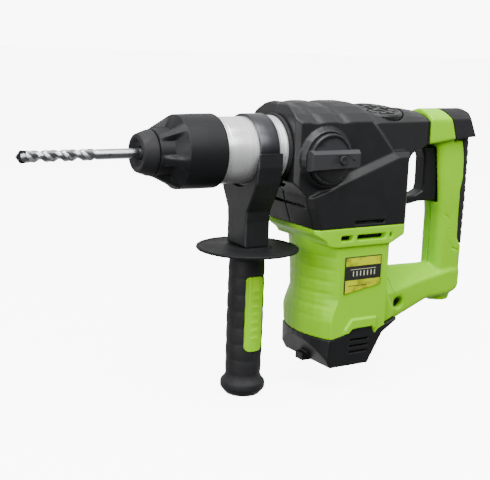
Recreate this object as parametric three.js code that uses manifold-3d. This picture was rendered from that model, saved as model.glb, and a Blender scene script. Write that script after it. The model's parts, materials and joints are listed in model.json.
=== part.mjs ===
// SDS-plus rotary hammer: upright motor, crank hammer mechanism, D-handle and clamped side handle.
// Millimetres. +X points along the bit, +Y is the operator's left, +Z is up.
// The origin is on the motor axis, in the flat underside of the motor end cap.
import * as THREE from 'three';
import { mergeVertices } from 'three/addons/utils/BufferGeometryUtils.js';
import Module from 'manifold-3d';

const wasm = await Module();
wasm.setup();

// ---- driving dimensions -------------------------------------------------------------------
const GAP = 0.3;              // clearance between neighbouring pieces
const TOOL_Z = 198;           // height of the bit's axis
const WALL = 3;               // plastic wall thickness

const SEAM_Z = 130.5;         // where the black cover meets the green motor housing
const NOSE_X = 69;            // front face of the cover's nose
const ARM_X = -94.5;          // rear end of the cover's arm
const COVER_HALF = 37;        // half width of the cover's side panels
const BULGE_HALF = 41;        // half width of the cover's lower part
const ROOF_SIDE_Z = 224;      // height of the roof's side edges
const ROOF_Z = 240.6;         // height of the roof's crown

const MOTOR_HALF = 39;        // half width of the motor housing
const RIM_HALF = 40.6;        // half width of the raised rim above the end cap
const MOTOR_BORE = 31;        // inner radius of the motor housing
const PLATE_Z = [126.5, 133.2];

const STROKE = 22;            // piston stroke
const CRANK_X = -20.5;
const CRANK_PIN_X = CRANK_X - STROKE / 2;
const ROD_LENGTH = 42;
const WRIST_X = CRANK_PIN_X + ROD_LENGTH;
const INTERMEDIATE_X = 20.5;
const MODULE = 1;             // module of the motor pinion and both spur gears
const PINION_TEETH = 8;
const SPUR_TEETH = 33;
const FACE_TEETH = 44;
const FACE_PINION_TEETH = 9;
const FACE_RADIUS = 26.5;     // pitch radius of the face gear
const FACE_PINION_RADIUS = FACE_RADIUS * FACE_PINION_TEETH / FACE_TEETH;
const FACE_X = INTERMEDIATE_X + FACE_PINION_RADIUS;

const BARREL_END = 132;
const BALL_X = 166;
const BIT_TIP = 303;
const SHANK_END = 156;

const SIDE_X = 92;            // axis of the side handle
const GUARD_Z = 112;
const GUARD_RADIUS = 45.5;
const GRIP_END_Z = -22;

const HEAD_HALF = 20;         // half width of the rear handle where it meets the cover's arm
const TAIL_X = -60;           // seam between the motor housing and the rear handle's bar
const BAR_END = -153;         // rear end of the rear handle's bar
const SCREW_AT = [-67, 0, 49]; // screw that draws the handle halves together on the housing's tail
const GLAND_X = -134;         // axis of the cord gland under the rear handle
const KNOB = [39, 193];       // x and z of the mode knob's axis
const CAP_AT = [-40, 3, 226.8];
const CAP_TILT = THREE.MathUtils.degToRad(9);

const COLOURS = {
  green: [0x9bd400, 0.45, 0],
  black: [0x26272a, 0.55, 0],
  soft: [0x1c1c1e, 0.85, 0],
  bright: [0xd4d6d8, 0.25, 1],
  steel: [0x9a9ca0, 0.35, 1],
  dark_steel: [0x5c5d62, 0.4, 1],
  cast: [0xa8aaad, 0.5, 1],
  copper: [0xb06a35, 0.4, 1],
  core: [0x55585c, 0.6, 1],
  carbon: [0x2b2b2b, 0.8, 0],
  label: [0xc9c73a, 0.4, 0],
};

// ---- solids -------------------------------------------------------------------------------
function closedBody(geometry) {
  geometry.deleteAttribute('normal');
  geometry.deleteAttribute('uv');
  const merged = mergeVertices(geometry, 1e-4);
  const points = merged.attributes.position;
  const corners = [];
  let volume = 0;
  const [a, b, c] = [new THREE.Vector3(), new THREE.Vector3(), new THREE.Vector3()];
  for (let i = 0; i < merged.index.count; i += 3) {
    const [p, q, r] = [0, 1, 2].map((k) => merged.index.getX(i + k));
    if (p === q || q === r || r === p) continue;
    corners.push(p, q, r);
    a.fromBufferAttribute(points, p);
    b.fromBufferAttribute(points, q);
    c.fromBufferAttribute(points, r);
    volume += a.dot(b.cross(c));
  }
  if (volume < 0) corners.reverse();
  return new wasm.Manifold(new wasm.Mesh({
    numProp: 3,
    vertProperties: new Float32Array(points.array),
    triVerts: new Uint32Array(corners),
  }));
}

const joined = (...solids) => solids.reduce((whole, next) => whole.add(next));
const common = (...solids) => solids.reduce((whole, next) => whole.intersect(next));

// An outline in the two axes across `axis`, pushed along that axis from `from` to `to`.
// Outlines are given as [x, y] for z, [x, z] for y and [y, z] for x.
function prism(axis, outline, from, to, { bevel = 0, segments = 3, holes = [] } = {}) {
  const shape = new THREE.Shape(outline.map(([u, v]) => new THREE.Vector2(u, v)));
  for (const hole of holes) shape.holes.push(new THREE.Path(hole.map(([u, v]) => new THREE.Vector2(u, v))));
  const geometry = new THREE.ExtrudeGeometry(shape, {
    depth: to - from - 2 * bevel,
    bevelEnabled: bevel > 0,
    bevelThickness: bevel,
    bevelSize: bevel,
    bevelOffset: -bevel,
    bevelSegments: segments,
    curveSegments: 1,
  });
  geometry.translate(0, 0, bevel);
  if (axis === 'z') geometry.translate(0, 0, from);
  if (axis === 'y') geometry.rotateX(Math.PI / 2).translate(0, to, 0);
  if (axis === 'x') {
    const [x, y, z] = [new THREE.Vector3(1, 0, 0), new THREE.Vector3(0, 1, 0), new THREE.Vector3(0, 0, 1)];
    geometry.applyMatrix4(new THREE.Matrix4().makeBasis(y, z, x)).translate(from, 0, 0);
  }
  return closedBody(geometry);
}

function block([x0, x1], [y0, y1], [z0, z1]) {
  const geometry = new THREE.BoxGeometry(x1 - x0, y1 - y0, z1 - z0);
  return closedBody(geometry.translate((x0 + x1) / 2, (y0 + y1) / 2, (z0 + z1) / 2));
}

// A skin stretched over convex loops of [x, y, z], each with the same number of points.
function lofted(sections) {
  const count = sections[0].length;
  const index = [];
  for (let base = 0; base < count * (sections.length - 1); base += count) {
    for (let i = 0; i < count; i += 1) {
      const [a, b] = [base + i, base + (i + 1) % count];
      index.push(a, b, b + count, a, b + count, a + count);
    }
  }
  const last = count * (sections.length - 1);
  for (let i = 1; i + 1 < count; i += 1) index.push(0, i + 1, i, last, last + i, last + i + 1);
  const geometry = new THREE.BufferGeometry();
  geometry.setAttribute('position', new THREE.Float32BufferAttribute(sections.flat(2), 3));
  return closedBody(geometry.setIndex(index));
}

const atX = (x, loop) => loop.map(([y, z]) => [x, y, z]);
const atY = (y, loop) => loop.map(([x, z]) => [x, y, z]);
const atZ = (z, loop) => loop.map(([x, y]) => [x, y, z]);

function turnTo(geometry, axis) {
  if (axis === 'x') geometry.rotateZ(-Math.PI / 2);
  if (axis === 'z') geometry.rotateX(Math.PI / 2);
  return geometry;
}

// A profile of [radius, place along the axis] turned round that axis.
function turned(axis, profile, segments = 20) {
  const onAxis = profile[0][0] === 0 && profile.at(-1)[0] === 0;
  const loop = onAxis ? profile : [...profile, profile[0]];
  const geometry = new THREE.LatheGeometry(loop.map(([r, s]) => new THREE.Vector2(r, s)), segments);
  return closedBody(turnTo(geometry, axis));
}

function rod(axis, radius, from, to, segments = 16) {
  const geometry = new THREE.CylinderGeometry(radius, radius, to - from, segments);
  return closedBody(turnTo(geometry.translate(0, (from + to) / 2, 0), axis));
}

function ring(axis, inner, outer, from, to, segments = 20) {
  return turned(axis, [[inner, from], [outer, from], [outer, to], [inner, to]], segments);
}

// A ball bearing's outline: two races with a groove between them on the open face.
function bearing(axis, inner, outer, from, to, segments = 20) {
  const land = (outer - inner) * 0.32;
  const dip = Math.min(1, (to - from) * 0.15);
  return turned(axis, [
    [inner, from], [outer, from], [outer, to], [outer - land, to], [outer - land, to - dip],
    [inner + land, to - dip], [inner + land, to], [inner, to],
  ], segments);
}

// ---- outlines -----------------------------------------------------------------------------
function arc([cx, cy], radius, fromDegrees, toDegrees, steps) {
  return Array.from({ length: steps + 1 }, (_, i) => {
    const angle = THREE.MathUtils.degToRad(fromDegrees + (toDegrees - fromDegrees) * i / steps);
    return [cx + radius * Math.cos(angle), cy + radius * Math.sin(angle)];
  });
}

// Moves each side of an anticlockwise outline inwards by `distance`.
function inset(outline, distance) {
  const count = outline.length;
  const sides = outline.map(([x0, y0], i) => {
    const [x1, y1] = outline[(i + 1) % count];
    const length = Math.hypot(x1 - x0, y1 - y0);
    const normal = [-(y1 - y0) / length, (x1 - x0) / length];
    return { normal, offset: normal[0] * x0 + normal[1] * y0 + distance };
  });
  return sides.map((side, i) => {
    const before = sides[(i + count - 1) % count];
    const [[a, b], [c, d]] = [before.normal, side.normal];
    const det = a * d - b * c;
    if (Math.abs(det) < 1e-3) return [outline[i][0] + c * distance, outline[i][1] + d * distance];
    return [(before.offset * d - side.offset * b) / det, (a * side.offset - c * before.offset) / det];
  });
}

function gearOutline(teeth, module, { addendum, dedendum, slimmer, start = 0 }) {
  const pitch = teeth * module / 2;
  const outer = pitch + addendum * module;
  const root = pitch - dedendum * module;
  const half = Math.PI * module / 4 - slimmer;
  const slope = Math.tan(THREE.MathUtils.degToRad(22));
  const points = [];
  for (let i = 0; i < teeth; i += 1) {
    const middle = start + (i * 2 * Math.PI) / teeth;
    const flank = (radius, side) => {
      const width = half - (radius - pitch) * slope;
      const angle = middle + side * width / radius;
      return [radius * Math.cos(angle), radius * Math.sin(angle)];
    };
    points.push(flank(root, -1), flank(outer, -1), flank(outer, 1), flank(root, 1));
  }
  return points;
}

// ---- scene graph --------------------------------------------------------------------------
const group = new THREE.Group();
const toolLine = new THREE.Group();
toolLine.position.set(0, 0, TOOL_Z);
const sideHandle = new THREE.Group();
sideHandle.position.set(SIDE_X, 0, 0);
const greaseCap = new THREE.Group();
greaseCap.position.set(...CAP_AT);
greaseCap.rotation.x = -CAP_TILT;
group.add(toolLine, sideHandle, greaseCap);

function place(parent, name, solid, finish) {
  const { vertProperties, triVerts } = solid.getMesh();
  const geometry = new THREE.BufferGeometry();
  geometry.setAttribute('position', new THREE.BufferAttribute(new Float32Array(vertProperties), 3));
  geometry.setIndex(new THREE.BufferAttribute(new Uint32Array(triVerts), 1));
  geometry.computeVertexNormals();
  const [color, roughness, metalness] = COLOURS[finish];
  const mesh = new THREE.Mesh(geometry, new THREE.MeshStandardMaterial({ color, roughness, metalness }));
  mesh.name = name;
  parent.add(mesh);
}

// ---- bit and chuck ------------------------------------------------------------------------
function twistedFlutes(from, to) {
  const section = [...arc([1.2, 0], 3.4, -62, 62, 4), ...arc([-1.2, 0], 3.4, 118, 242, 4)];
  const turns = 1.9;
  const shape = new THREE.Shape(section.map(([u, v]) => new THREE.Vector2(u, v)));
  const geometry = new THREE.ExtrudeGeometry(shape, { depth: to - from, bevelEnabled: false, steps: 15 });
  const points = geometry.attributes.position;
  for (let i = 0; i < points.count; i += 1) {
    const along = points.getZ(i);
    const angle = turns * 2 * Math.PI * along / (to - from);
    const [u, v] = [points.getX(i), points.getY(i)];
    const turnedU = u * Math.cos(angle) - v * Math.sin(angle);
    const turnedV = u * Math.sin(angle) + v * Math.cos(angle);
    points.setXYZ(i, from + along, turnedU, turnedV);
  }
  return closedBody(geometry);
}

function makeBit() {
  const shank = turned('x', [
    [0, SHANK_END], [4.2, SHANK_END], [5, SHANK_END + 1], [5, 198], [4.2, 201],
    [4.2, 236], [3.6, 240], [0, 240],
  ], 16);
  const head = turned('x', [[0, 290], [4.4, 292], [4.6, 298], [0, 301.5]], 16);
  let bit = joined(shank, twistedFlutes(236, 296), head);
  for (const side of [1, -1]) {
    const lock = side > 0 ? [2.4, 6] : [-6, -2.4];
    bit = bit.subtract(block([161, 181], [-3.7, 3.7], lock));
    const drive = side > 0 ? [3.2, 6] : [-6, -3.2];
    bit = bit.subtract(block([150, 184], drive, [-1.6, 1.6]));
  }
  bit = bit.subtract(block([294.6, 310], [-1.35, 1.35], [-8, 8]));
  place(toolLine, 'drill_bit', bit, 'steel');
  const plate = [[295, -4.6], [299.5, -5.1], [BIT_TIP, -0.3], [BIT_TIP, 0.3], [299.5, 5.1], [295, 4.6]];
  place(toolLine, 'carbide_tip', prism('y', plate, -1, 1), 'dark_steel');
}

function makeChuck() {
  place(toolLine, 'dust_cap', turned('x', [
    [10.4, 185], [14, 185], [14, 189.2], [19.2, 189.2], [19, 192.5], [15.7, 202], [12.6, 202],
    [9.4, 198.6], [5.7, 198.6], [5.7, 193], [10.4, 193],
  ]), 'soft');

  let sleeve = turned('x', [
    [29.3, BARREL_END], [31.5, BARREL_END], [31.5, 135], [31, 169], [30.1, 170.5], [19.6, 188.8],
    [14.6, 188.8], [14.6, 176.8], [10.5, BALL_X], [10.5, 156], [29.3, 156],
  ], 30);
  const recesses = 6;
  for (let i = 0; i < recesses; i += 1) {
    const cutter = block([-9, 9], [-20, 20], [0, 12]).rotate([0, 28, 0]).translate([173, 0, 27.4]);
    sleeve = sleeve.subtract(cutter.rotate([30 + i * 360 / recesses, 0, 0]));
  }
  place(toolLine, 'locking_sleeve', sleeve, 'black');

  class Helix extends THREE.Curve {
    getPoint(t, target = new THREE.Vector3()) {
      const angle = t * 4.5 * 2 * Math.PI;
      return target.set(137.6 + t * 16.8, 13.2 * Math.cos(angle), 13.2 * Math.sin(angle));
    }
  }
  const wire = new THREE.Shape(arc([0, 0], 1, 0, 300, 5).map(([u, v]) => new THREE.Vector2(u, v)));
  const coil = new THREE.ExtrudeGeometry(wire, { steps: 42, bevelEnabled: false, extrudePath: new Helix() });
  place(toolLine, 'sleeve_spring', closedBody(coil), 'steel');

  const ball = new THREE.SphereGeometry(3.4, 12, 8);
  place(toolLine, 'locking_ball', closedBody(ball).translate([BALL_X, 0, 5.95]), 'bright');
}

function makeSpindle() {
  let tube = turned('x', [
    [15.2, 14], [19, 14], [19, 108], [15.5, 110], [15.5, 136], [10, 136], [10, 192.6], [5.4, 192.6],
    [5.4, 147], [6.5, 147], [6.5, 134], [9.4, 134], [9.4, 101], [15.2, 101],
  ]);
  tube = tube.subtract(rod('z', 3.8, 3, 12, 20).translate([BALL_X, 0, 0]));
  const airPorts = 4;
  for (let i = 0; i < airPorts; i += 1) {
    const port = rod('z', 1.8, 10, 25, 10).translate([62, 0, 0]);
    tube = tube.subtract(port.rotate([i * 360 / airPorts, 0, 0]));
  }
  place(toolLine, 'tool_spindle', tube, 'steel');

  let gear = turned('x', [
    [19.3, FACE_X + 1.6], [29.8, FACE_X + 1.6], [29.8, 34], [19.3, 34],
  ], 22);
  const tooth = [[FACE_X + 1.8, 1.35], [FACE_X - 1, 0.45], [FACE_X - 1, -0.45], [FACE_X + 1.8, -1.35]];
  for (let i = 0; i < FACE_TEETH; i += 1) {
    const cog = prism('z', tooth, 23.8, 29.2).rotate([(i + 0.5) * 360 / FACE_TEETH, 0, 0]);
    gear = gear.add(cog);
  }
  place(toolLine, 'spindle_gear', gear, 'dark_steel');
  place(toolLine, 'spindle_rear_bearing', bearing('x', 19.3, 27.2, 35.7, 43.2, 24), 'steel');
  place(toolLine, 'spindle_front_bearing', bearing('x', 15.8, 23.7, 114, 125), 'steel');
  place(toolLine, 'oil_seal', ring('x', 15.9, 23.7, 127, 131.4), 'soft');
}

function makeBarrel() {
  place(toolLine, 'front_barrel', turned('x', [
    [24, 43.9], [32.4, 43.9], [32.4, 50], [28.4, 52], [28.4, 72.4], [29.4, 72.6], [29.4, 75], [28.6, 75.4],
    [28.6, 128], [28, BARREL_END], [24, BARREL_END],
  ], 30), 'bright');
  place(toolLine, 'nose_seal_ring', turned('x', [
    [28.9, NOSE_X + GAP], [31.6, NOSE_X + GAP], [31, 72], [28.9, 72],
  ], 30), 'soft');
}

// ---- hammer mechanism ---------------------------------------------------------------------
function makePistonTrain() {
  let piston = turned('x', [[0, 33], [14.8, 33], [14.8, 3], [10.6, 3], [10.6, 22], [0, 24]]);
  piston = piston.subtract(rod('z', 3.3, -20, 20, 20).translate([WRIST_X, 0, 0]));
  place(toolLine, 'piston', piston, 'steel');
  place(toolLine, 'wrist_pin', rod('z', 3, -13.5, 13.5, 20).translate([WRIST_X, 0, 0]), 'bright');

  const big = ring('z', 5.3, 8, -5, 5, 24).translate([CRANK_PIN_X, 0, 0]);
  const small = ring('z', 3.3, 6.5, -4, 4, 24).translate([WRIST_X, 0, 0]);
  const shank = block([CRANK_PIN_X + 6.8, WRIST_X - 5.2], [-3.5, 3.5], [-4, 4]);
  place(toolLine, 'connecting_rod', joined(big, small, shank), 'cast');
  place(toolLine, 'crank_pin', rod('z', 5, -9.4, 7, 20).translate([CRANK_PIN_X, 0, 0]), 'bright');

  place(toolLine, 'striker', turned('x', [
    [0, 66], [11, 66], [11, 67.5], [14.8, 67.5], [14.8, 73], [13.8, 73], [13.8, 76], [14.8, 76], [14.8, 92],
    [8, 98], [0, 98],
  ]), 'steel');
  place(toolLine, 'impact_bolt', turned('x', [
    [0, 105], [7.5, 105], [9, 107], [9, 123], [6.1, 126], [6.1, 144], [4.5, 145], [0, 145],
  ], 24), 'steel');
}

function spurGear(boreRadius, start, from, to) {
  const outline = gearOutline(SPUR_TEETH, MODULE, { addendum: 0.8, dedendum: 1.15, slimmer: 0.16, start });
  return prism('z', outline, from, to, { holes: [arc([0, 0], boreRadius, 0, 345, 23)] });
}

function makeGears() {
  const gapHalf = Math.PI / SPUR_TEETH;
  const gears = [139.5, 147.5];
  place(group, 'crank_gear', spurGear(6.3, gapHalf, ...gears).translate([CRANK_X, 0, 0]), 'dark_steel');
  const crank = joined(rod('z', 6, 128, 181.5), rod('z', 16.5, 181, 188, 24));
  place(group, 'crank_shaft', crank.translate([CRANK_X, 0, 0]), 'steel');
  place(group, 'crank_bearing', bearing('z', 6.3, 11, 153, 161).translate([CRANK_X, 0, 0]), 'steel');

  const second = spurGear(5.3, Math.PI + gapHalf, ...gears);
  place(group, 'intermediate_gear', second.translate([INTERMEDIATE_X, 0, 0]), 'dark_steel');
  const module = 2 * FACE_PINION_RADIUS / FACE_PINION_TEETH;
  const teeth = gearOutline(FACE_PINION_TEETH, module, { addendum: 0.72, dedendum: 1.1, slimmer: 0.28 });
  const shaft = joined(rod('z', 5, 128, 163), rod('z', 3.8, 162, 169), prism('z', teeth, 168.6, 174.4));
  place(group, 'intermediate_shaft', shaft.translate([INTERMEDIATE_X, 0, 0]), 'steel');
  const support = bearing('z', 5.3, 9.5, 153, 161).translate([INTERMEDIATE_X, 0, 0]);
  place(group, 'intermediate_bearing', support, 'steel');
}

function archSection(half, bottom) {
  return [[-half, bottom], [half, bottom], ...arc([0, TOOL_Z], half, 0, 180, 14)];
}

function makeGearCase() {
  const outerPlan = [
    [-48, -23], [-14, -23], [2, -33.6], [37, -33.6], [43.5, -26],
    [43.5, 26], [37, 33.6], [2, 33.6], [-14, 23], [-48, 23],
  ];
  const innerPlan = [
    [-45, -20.2], [-13, -20.2], [3, -30.6], [35, -30.6], [35, 30.6], [3, 30.6], [-13, 20.2], [-45, 20.2],
  ];
  const side = [[-48, 133.5], [43.5, 133.5], [43.5, 240], [4, 240], [-6, 219], [-48, 216.5]];
  const sideInner = [[-46, 162], [36, 162], [36, 240], [7, 240], [-4, 215.8], [-46, 213.4]];
  let gearCase = common(
    prism('x', archSection(33.6, 133.5), -48, 43.5),
    prism('z', outerPlan, 133.5, 240),
    prism('y', side, -40, 40),
  );
  gearCase = gearCase.subtract(common(
    prism('x', archSection(30.6, 162), -46, 36),
    prism('z', innerPlan, 162, 236),
    prism('y', sideInner, -40, 40),
  ));
  const lower = prism('z', inset(outerPlan, 3.4), 130, 152);
  gearCase = gearCase.subtract(lower);
  gearCase = gearCase.subtract(rod('z', 18.3, 130, 152, 28).translate([INTERMEDIATE_X, 0, 0]));
  gearCase = gearCase.subtract(rod('z', 11.4, 150, 164, 20).translate([CRANK_X, 0, 0]));
  gearCase = gearCase.subtract(rod('z', 9.9, 150, 164, 20).translate([INTERMEDIATE_X, 0, 0]));
  gearCase = gearCase.subtract(rod('x', 27.7, 33, 46, 24).translate([0, 0, TOOL_Z]));
  gearCase = gearCase.subtract(rod('z', 14, 205, 240, 20).translate([-31, 0, 0]));
  place(group, 'gear_case', gearCase, 'cast');

  const [from, to] = PLATE_Z;
  const bores = [[CRANK_X, 6.3], [INTERMEDIATE_X, 5.3], [0, 10.9]];
  const holes = bores.map(([x, radius]) => arc([x, 0], radius, 0, 345, 23));
  const outline = [[-43, -33], [39, -33], [39, 33], [-43, 33]];
  place(group, 'bearing_plate', prism('z', outline, from, to, { holes }), 'cast');
}

// ---- motor --------------------------------------------------------------------------------
function makeArmature() {
  const outline = gearOutline(PINION_TEETH, MODULE, { addendum: 0.8, dedendum: 1.05, slimmer: 0.16 });
  const shaft = joined(rod('z', 4, 8.5, 134), rod('z', 2.9, 133, 139), prism('z', outline, 138.5, 149.5));
  place(group, 'armature_shaft', shaft, 'steel');

  const slots = 12;
  const core = gearOutline(slots, 3.2, { addendum: 0, dedendum: 1.1, slimmer: -0.05 });
  const teeth = prism('z', core, 46, 92, { holes: [arc([0, 0], 4.3, 0, 345, 23)] });
  const windings = ring('z', 4.3, 15.6, 40, 97);
  place(group, 'armature_core', joined(teeth, windings), 'core');

  let commutator = ring('z', 4.3, 13, 20, 36, 36);
  const bars = 10;
  for (let i = 0; i < bars; i += 1) {
    const cut = block([12, 14], [-0.35, 0.35], [19, 34]);
    commutator = commutator.subtract(cut.rotate([0, 0, (i + 0.5) * 360 / bars]));
  }
  place(group, 'commutator', commutator, 'copper');

  let fan = turned('z', [
    [4.3, 101], [9, 101], [9, 103], [27, 103], [27, 104.6], [9, 106], [9, 114], [4.3, 114],
  ]);
  const blades = 9;
  for (let i = 0; i < blades; i += 1) {
    const blade = block([8.6, 26.4], [-0.8, 0.8], [104, 113]).rotate([0, 0, 18]);
    fan = fan.add(blade.rotate([0, 0, i * 360 / blades]));
  }
  place(group, 'cooling_fan', fan, 'black');
  place(group, 'motor_lower_bearing', bearing('z', 4.3, 9, 9, 15, 24), 'steel');
  place(group, 'motor_upper_bearing', bearing('z', 4.3, 10.6, ...PLATE_Z, 24), 'steel');
}

function makeStator() {
  place(group, 'stator', ring('z', 20.2, MOTOR_BORE - 0.5, 44, 95, 24), 'core');
  for (const [name, side] of [['left', 1], ['right', -1]]) {
    const across = (near, far) => (side > 0 ? [near, far] : [-far, -near]);
    place(group, `brush_${name}`, block([-3.2, 3.2], across(13.4, 25), [25.3, 31.3]), 'carbon');
    const holder = block([-5.5, 5.5], across(16, 28.6), [24.4, 34]);
    const channel = block([-3.5, 3.5], across(15, 26), [25, 31.6]);
    place(group, `brush_holder_${name}`, holder.subtract(channel), 'copper');
  }
}

// The motor housing's plan: flat sides, a bowed front and a flat back.
function motorPlan(half, front, corner, rear) {
  const points = [[rear, half], [rear, -half], [corner, -half]];
  const steps = 8;
  for (let i = 1; i < steps; i += 1) {
    const y = -half + (2 * half * i) / steps;
    points.push([front - (front - corner) * (y / half) ** 2, y]);
  }
  points.push([corner, half]);
  return points;
}

function coverPlan(clear = 0, front = 47) {
  const half = BULGE_HALF - clear;
  const [face, rear] = [front - clear, -55 + clear];
  return [
    [rear, half - 3.5], [rear, 3.5 - half], [rear + 3.5, -half], [face - 5, -half], [face, 5 - half],
    [face, half - 5], [face - 5, half], [rear + 3.5, half],
  ];
}

// Side view of the line between the green housing and the end cap, front to back.
const capLine = [[60, 27.4], [24, 27.4], [6, 31], [1, 35.6], [-22, 36.2], [-26, 28.2], [-30, 32.4], [-52, 41]];

// The handle's bar, from inside the motor housing to its rear end: [x, half width, height of the
// side's upper edge, crown, underside].
const barStations = [
  [-36, 27, 57, 86, 27], [TAIL_X, 22.5, 60.4, 81, 31.5], [-107, 18, 69, 80, 47], [-136, 16.5, 73.5, 80, 48],
  [-148, 15.5, 73, 79, 52], [BAR_END, 10.5, 72, 76, 59],
];

function barSolid(depth) {
  return lofted(barStations.map(([x, half, edge, crown, bottom]) => {
    const [w, rim, low] = [half - depth, edge - depth / 2, bottom + depth];
    const loop = [[3 - w, low], [w - 3, low], [w, low + 3], [w, rim], [4, crown - depth], [-4, crown - depth]];
    return atX(Math.max(x, BAR_END + depth), [...loop, [-w, rim], [-w, low + 3]]);
  }));
}

// How far forward the motor housing's front corners stand, from the bottom up: [z, x].
const motorCorners = [
  [20, 22.6], [34, 24.2], [46, 25.2], [55, 21.8], [64, 18], [85, 19.4], [104, 21.4], [126, 25],
];

function makeMotorHousing() {
  const column = lofted(motorCorners.map(([z, x]) => atZ(z, motorPlan(MOTOR_HALF, 34, x, -37))));
  const flangeSide = [
    [-37, 113], [24, 113], [33, 115], [36, 119.5], [46, 126],
    [47, SEAM_Z - GAP], [-55, SEAM_Z - GAP], [-53.5, 121.5],
  ];
  const flange = common(prism('y', flangeSide, -45, 45), prism('z', coverPlan(), 100, 140));
  const tail = barSolid(0).intersect(block([TAIL_X, 0], [-40, 40], [0, 120]));
  const flareSide = [[-37, 92], [-44, 62], [-52, 48], [-52, 30], [-30, 30], [-30, 92]];
  const flare = prism('y', flareSide, -35, 35, { bevel: 3, segments: 2 });
  const rim = prism('y', [[9, 32], [9, 36], [2, 44.5], [-26, 44.5], [-26, 34]].reverse(), -RIM_HALF, RIM_HALF);
  let housing = joined(column, flange, tail, flare, rim);

  const below = [[60, 0], ...capLine.map(([x, z]) => [x, z + GAP]), [-52, 30], [-46, 20], [-46, 0]];
  housing = housing.subtract(prism('y', below, -60, 60));
  housing = housing.subtract(rod('z', MOTOR_BORE, 10, 123, 24));
  housing = housing.subtract(block([-44, 40], [-34, 34], [PLATE_Z[0] - GAP, 140]));
  housing = housing.subtract(rod('z', 25, 100, 130, 20));
  housing = housing.subtract(block([-80, -26], [-15, 15], [42, 66]));
  for (const side of [1, -1]) {
    const wall = side > 0 ? [30, 45] : [-45, -30];
    for (const [from, to] of [[6.5, 20], [-31, 2], [-38, -35]]) {
      housing = housing.subtract(block([from, to], wall, [118.6, 123.4]));
    }
  }
  place(group, 'motor_housing', housing, 'green');

  const label = [[13, 69.5], [13, 103.5], [-28, 103.5], [-28, 76]];
  place(group, 'label_plate', prism('y', label, MOTOR_HALF + GAP, MOTOR_HALF + 1.1), 'label');
}

function makeEndCap() {
  const top = capLine.slice(1).map(([x, z]) => [x, z - 0.05]);
  const side = [[21.6, 0], [36.5, 27.1], ...top, [-51, 38], [-35, 28], [-22, 0]];
  const front = [[-36, 0], [36, 0], [38.6, 27], [38.6, 45], [-38.6, 45], [-38.6, 27]];
  let cap = common(
    prism('y', side, -45, 45),
    prism('x', front, -60, 60),
    prism('z', motorPlan(38.6, 34.5, 25, -60), 0, 60),
  );
  cap = cap.subtract(turned('z', [[0, 3], [17, 3], [19.5, 10], [19.5, 18], [30, 24], [30, 60], [0, 60]], 24));
  cap = cap.add(ring('z', 9.3, 12.5, 2.5, 15, 24));
  cap = cap.add(block([16, 31], [-6, 6], [0, 7]));
  for (const half of [1, -1]) {
    const wall = half > 0 ? [34, 40] : [-40, -34];
    for (let row = 0; row < 3; row += 1) {
      const z = 12 + row * 6;
      cap = cap.subtract(block([-20, 2], wall, [z, z + 2]));
    }
  }
  place(group, 'motor_end_cap', cap, 'black');
}

// ---- gear cover ---------------------------------------------------------------------------
function roofSection(half, sideZ, crownZ, bottom) {
  const rise = crownZ - sideZ;
  const radius = (half * half + rise * rise) / (2 * rise);
  const sweep = THREE.MathUtils.radToDeg(Math.asin(half / radius));
  return [[-half, bottom], [half, bottom], ...arc([0, crownZ - radius], radius, 90 - sweep, 90 + sweep, 8)];
}

// Side view of the cover's main body: the roof, the nose and the slanted rear edge of its panels.
function mainSide(rearShift) {
  return [
    [46, 145], [53, 150], [56, 160], [60, 163], [NOSE_X, 172], [NOSE_X, 230], [67.2, 237.5], [63.5, 240.6],
    [5, 240.3], [-7 - rearShift, 238], [-10 - rearShift, ROOF_SIDE_Z + 0.5], [-36 - rearShift, 196.5],
    [-44 - rearShift, 182], [-44 - rearShift, 145],
  ];
}

function coverMain(clear) {
  const half = COVER_HALF - clear;
  const plan = [[-60, -37], [65, -37], [69, -33], [69, 33], [65, 37], [-60, 37]];
  const [panel, edge] = [mainSide(0), mainSide(5)].map((side) => inset(side, clear));
  return common(
    joined(
      lofted([atY(-half, panel), atY(4 - half, edge)]),
      prism('y', edge, 3.9 - half, half - 3.9),
      lofted([atY(half - 4, edge), atY(half, panel)]),
    ),
    prism('x', roofSection(half, ROOF_SIDE_Z - clear, ROOF_Z - clear, 140), -60, 80),
    prism('z', inset(plan, clear), 130, 260),
  );
}

// The wider lower part, whose top is a slanted ledge that runs up to the panels.
function coverBulge(clear) {
  const foot = [[-56, SEAM_Z], [58, SEAM_Z], [58, 158]];
  if (clear) {
    const hollow = [
      [-52, 120], [44, 120], [44, 133], [50, 150], [50, 155], [26, 163], [-43, 187.5], [-52, 187.5],
    ];
    return common(prism('y', hollow, -50, 50), prism('z', coverPlan(clear, 58), 110, 200));
  }
  const low = [...foot, [28, 167.2], [-42, 191.6], [-56, 191.6]];
  const high = [...foot, [15, 179], [-36, 196.3], [-56, 196.3]];
  const across = lofted([
    atY(-BULGE_HALF, low), atY(-COVER_HALF, high), atY(COVER_HALF, high), atY(BULGE_HALF, low),
  ]);
  const levels = [[SEAM_Z, 47], [150, 54], [160, 56.5], [200, 56.5]];
  return common(across, lofted(levels.map(([z, front]) => atZ(z, coverPlan(0, front)))));
}

// The arm over the rear handle's head: [x, half width, height of the side's upper edge, crown].
const armStations = [
  [0, 34, 222.5, 236.6], [-14, 34, 222.2, 236.2], [-69, 26.2, 221.8, 233], [-86, 24, 221.8, 230.4],
  [-87.6, 18.8, 221.4, 228.6], [ARM_X, 18.8, 221.2, 228],
];

function coverArm(clear) {
  const side = [
    [ARM_X, 199.5], [-85, 199.5], [-79, 195.9], [-72.5, 194.8], [-67, 191], [-63, 184], [-58, 176], [0, 176],
    [0, 240], [ARM_X, 240],
  ];
  const sections = armStations.map(([x, half, edge, crown]) => (
    atX(Math.max(x, ARM_X + clear), roofSection(half - clear, edge - clear, crown - clear, 150))
  ));
  return common(lofted(sections), prism('y', inset(side, clear), -50, 50));
}

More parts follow.
